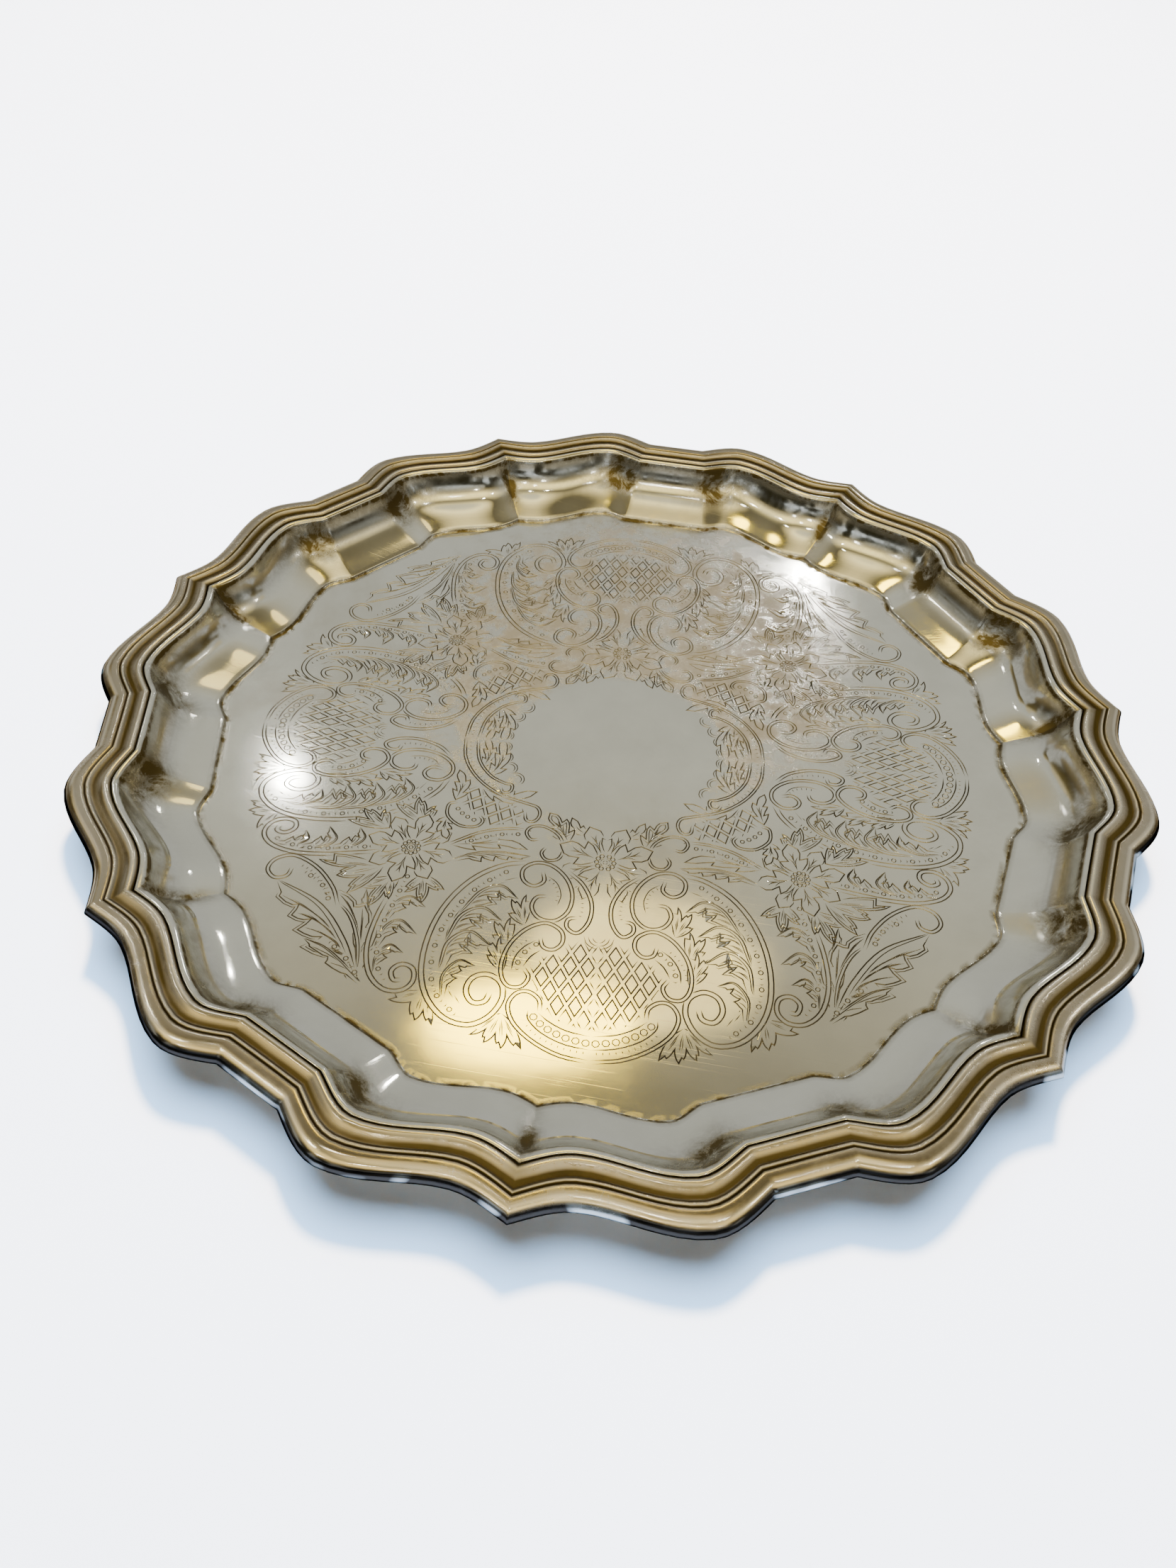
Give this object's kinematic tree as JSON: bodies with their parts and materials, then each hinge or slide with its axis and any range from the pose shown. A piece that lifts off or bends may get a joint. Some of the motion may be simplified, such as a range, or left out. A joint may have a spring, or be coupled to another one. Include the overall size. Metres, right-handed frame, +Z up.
{
  "type": "serving tray",
  "caption": "Round serving tray with a flat floor, a fluted wall and a lobed, moulded rim with a rolled edge.",
  "frame": {"origin": "centre of the flat underside", "axes": "+Z up, out of the floor; -Y towards a cusp of the rim"},
  "size_m": [0.3182, 0.3152, 0.017],
  "materials": {
    "dish": "worn silver plate over brass, chased floor",
    "border": "worn silver plate over brass, polished",
    "edge_wire": "plain drawn wire, hidden"
  },
  "bodies": {
    "root": {"dish": "dish", "border": "border", "edge_wire": "edge_wire"}
  },
  "joints": []
}
